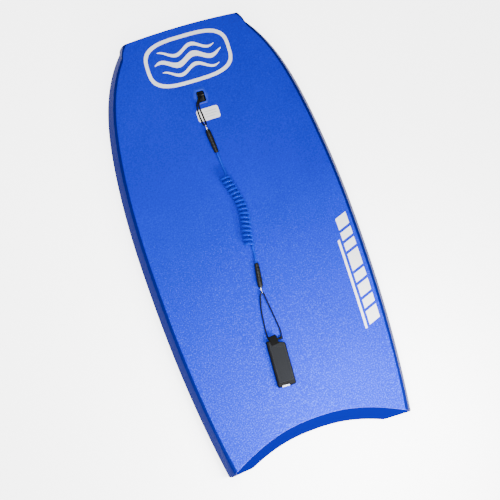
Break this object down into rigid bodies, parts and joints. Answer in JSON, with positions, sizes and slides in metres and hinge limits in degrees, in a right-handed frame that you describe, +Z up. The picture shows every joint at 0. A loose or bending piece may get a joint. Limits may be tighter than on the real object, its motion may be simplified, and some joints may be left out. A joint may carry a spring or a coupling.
{
  "type": "bodyboard",
  "caption": "Foam bodyboard with a crescent tail, wrapped rails, a through-deck leash plug and a coiled leash with swivels and a wrist cuff.",
  "frame": {"origin": "centre of the board's box in plan, at the flat underside that it rests on", "axes": "X across the board with +X on the rider's right, +Y towards the nose, +Z up out of the deck"},
  "size_m": [0.556, 1.08, 0.1003],
  "materials": {
    "core_foam": "closed-cell beaded foam, matt",
    "deck_foam": "textured soft foam skin, matt, lighter pebbled flow marks towards the tail",
    "slick_sheet": "smooth slick sheet, gloss",
    "tail_foam": "smooth foam skin, satin",
    "rail_foam": "smooth foam skin, satin",
    "stringer_composite": "woven fibre composite, satin",
    "black_plastic": "moulded plastic, satin",
    "plug_plastic": "moulded plastic, semi-gloss",
    "label_film": "thin printed film, blank",
    "string_cord": "round braided polyester string",
    "swivel_metal": "stainless steel, polished",
    "grip_rubber": "moulded soft rubber, satin",
    "leash_cord": "translucent urethane cord, gloss",
    "cuff_webbing": "woven nylon webbing",
    "cuff_neoprene": "neoprene with knitted face",
    "cuff_pile": "looped pile of the hook and loop",
    "cuff_hooks": "nylon hooks of the hook and loop",
    "tag_cloth": "blank woven tag"
  },
  "bodies": {
    "board": {"foam_core": "core_foam", "deck_skin": "deck_foam", "slick_bottom": "slick_sheet", "tail_strip": "tail_foam", "nose_strip": "rail_foam", "rail_upper_left": "rail_foam", "rail_upper_right": "rail_foam", "rail_lower_left": "rail_foam", "rail_lower_right": "rail_foam", "rail_core_left": "core_foam", "rail_core_right": "core_foam", "stringer_tube": "stringer_composite", "stringer_caps": "black_plastic", "plug_top": "plug_plastic", "plug_bar": "black_plastic", "plug_base": "plug_plastic", "deck_label": "label_film", "string_hitch": "string_cord", "string_upper": "string_cord", "swivel_eye_upper": "swivel_metal", "swivel_pin_upper": "swivel_metal", "grip_upper": "grip_rubber", "cord_upper": "leash_cord", "leash_coil": "leash_cord", "cord_lower": "leash_cord", "grip_lower": "grip_rubber", "swivel_pin_lower": "swivel_metal", "swivel_eye_lower": "swivel_metal", "string_lower": "string_cord", "string_knot": "string_cord", "cuff_anchor": "cuff_webbing", "cuff_base": "cuff_neoprene", "cuff_fold": "cuff_neoprene", "cuff_loop_patch": "cuff_pile", "cuff_label": "tag_cloth"},
    "swivel_upper": {"swivel_barrel_upper": "swivel_metal"},
    "swivel_lower": {"swivel_barrel_lower": "swivel_metal"},
    "cuff_strap": {"cuff_flap": "cuff_neoprene", "cuff_hook_patch": "cuff_hooks", "cuff_webbing": "cuff_webbing", "cuff_tab": "cuff_webbing"}
  },
  "joints": [
    {"name": "swivel_upper_turn", "type": "hinge", "parent": "board", "child": "swivel_upper", "pos_m": [-0.017, 0.275, 0.0684], "axis": [-0.0783, 0.9952, 0.0593], "continuous": true},
    {"name": "swivel_lower_turn", "type": "hinge", "parent": "board", "child": "swivel_lower", "pos_m": [-0.021, -0.135, 0.0633], "axis": [-0.1616, -0.9869, 0], "continuous": true},
    {"name": "cuff_open", "type": "hinge", "parent": "board", "child": "cuff_strap", "pos_m": [-0.03905, -0.37152, 0.0646], "axis": [0.9976, -0.0698, 0], "range_deg": [0, 160], "deforming": ["cuff_fold", "cuff_label"]}
  ]
}
